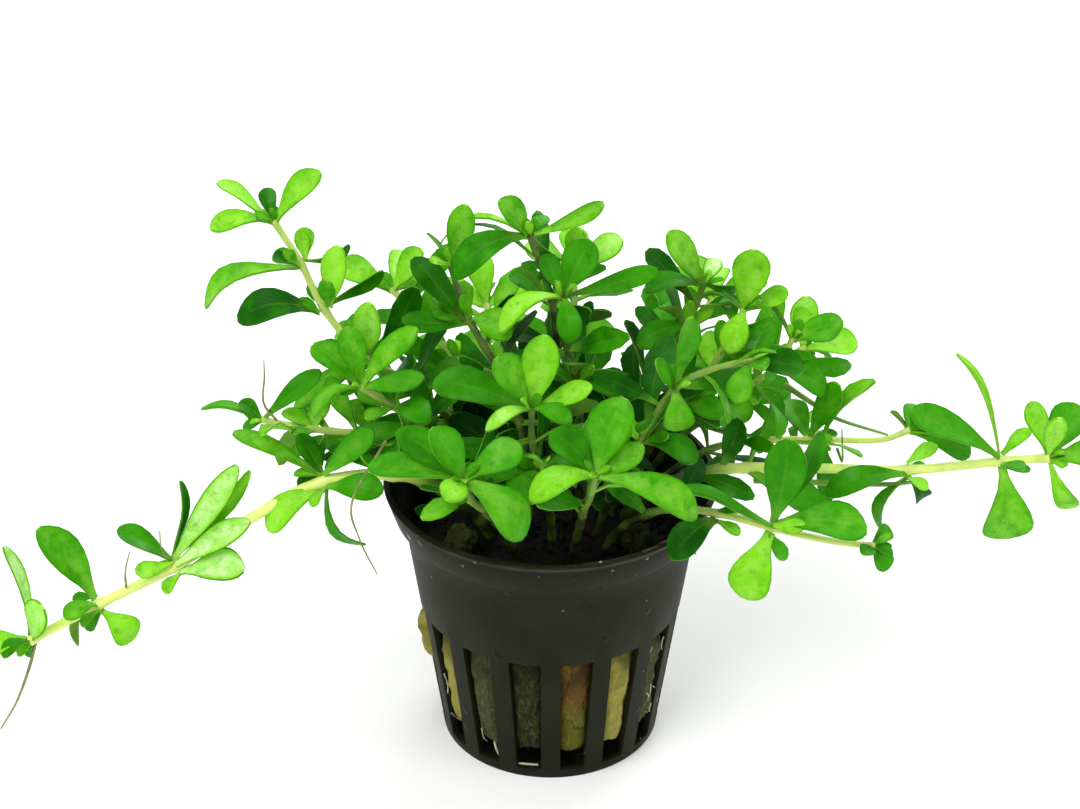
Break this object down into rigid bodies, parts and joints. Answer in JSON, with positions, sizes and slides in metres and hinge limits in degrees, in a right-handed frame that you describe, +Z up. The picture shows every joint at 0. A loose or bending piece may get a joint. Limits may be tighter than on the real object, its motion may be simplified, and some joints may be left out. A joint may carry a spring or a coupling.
{
  "type": "potted aquarium plant",
  "caption": "Bushy rounded-leaf stem plant in a slotted black net pot, with arching runners over the rim on both sides.",
  "frame": {"origin": "centre of the pot's underside, on the surface that it stands on", "axes": "+Z up, +X to the viewer's right along the runners, -Y towards the viewer"},
  "size_m": [0.1805, 0.0843, 0.1009],
  "materials": {
    "pot": "satin black moulded plastic, glossier where it is wet at the lip",
    "wool": "damp mineral wool, yellow-tan with moss-green and brown patches",
    "soil": "wet dark crumbs",
    "stems": "smooth, pale yellow-green, slightly translucent",
    "leaves": "fleshy lime-green leaf with a satin, waxy sheen and a paler underside"
  },
  "bodies": {
    "root": {"leaves_crest_inner_left_3": "leaves", "leaves_crest_left_3": "leaves", "leaves_crest_left_4": "leaves", "leaves_crest_left_5": "leaves", "leaves_runner_left_3": "leaves", "leaves_runner_left_5": "leaves", "leaves_runner_left_6": "leaves", "leaves_runner_right_4": "leaves", "leaves_runner_right_5": "leaves", "leaves_trailer_right_3": "leaves", "leaves_trailer_right_4": "leaves", "net_pot": "pot", "soil_topping": "soil", "stem_back_centre": "stems", "stem_back_left": "stems", "stem_back_right": "stems", "stem_crest_centre": "stems", "stem_crest_inner_left": "stems", "stem_crest_inner_right": "stems", "stem_crest_left": "stems", "stem_crest_right": "stems", "stem_far_back": "stems", "stem_front_centre": "stems", "stem_front_left": "stems", "stem_front_right": "stems", "stem_inner_left": "stems", "stem_inner_right": "stems", "stem_low_back_right": "stems", "stem_runner_left": "stems", "stem_runner_right": "stems", "stem_runner_right_upper": "stems", "stem_shoulder_right": "stems", "stem_side_left": "stems", "stem_side_right": "stems", "stem_trailer_right": "stems", "tip_back_centre": "leaves", "tip_back_left": "leaves", "tip_back_right": "leaves", "tip_crest_centre": "leaves", "tip_crest_inner_left": "leaves", "tip_crest_inner_right": "leaves", "tip_crest_left": "leaves", "tip_crest_right": "leaves", "tip_far_back": "leaves", "tip_front_centre": "leaves", "tip_front_left": "leaves", "tip_front_right": "leaves", "tip_inner_left": "leaves", "tip_inner_right": "leaves", "tip_low_back_right": "leaves", "tip_runner_left": "leaves", "tip_runner_right": "leaves", "tip_runner_right_upper": "leaves", "tip_shoulder_right": "leaves", "tip_side_left": "leaves", "tip_side_right": "leaves", "tip_trailer_right": "leaves", "wool_plug": "wool", "wool_tuft_left": "wool", "wool_tuft_right": "wool"}
  },
  "joints": []
}
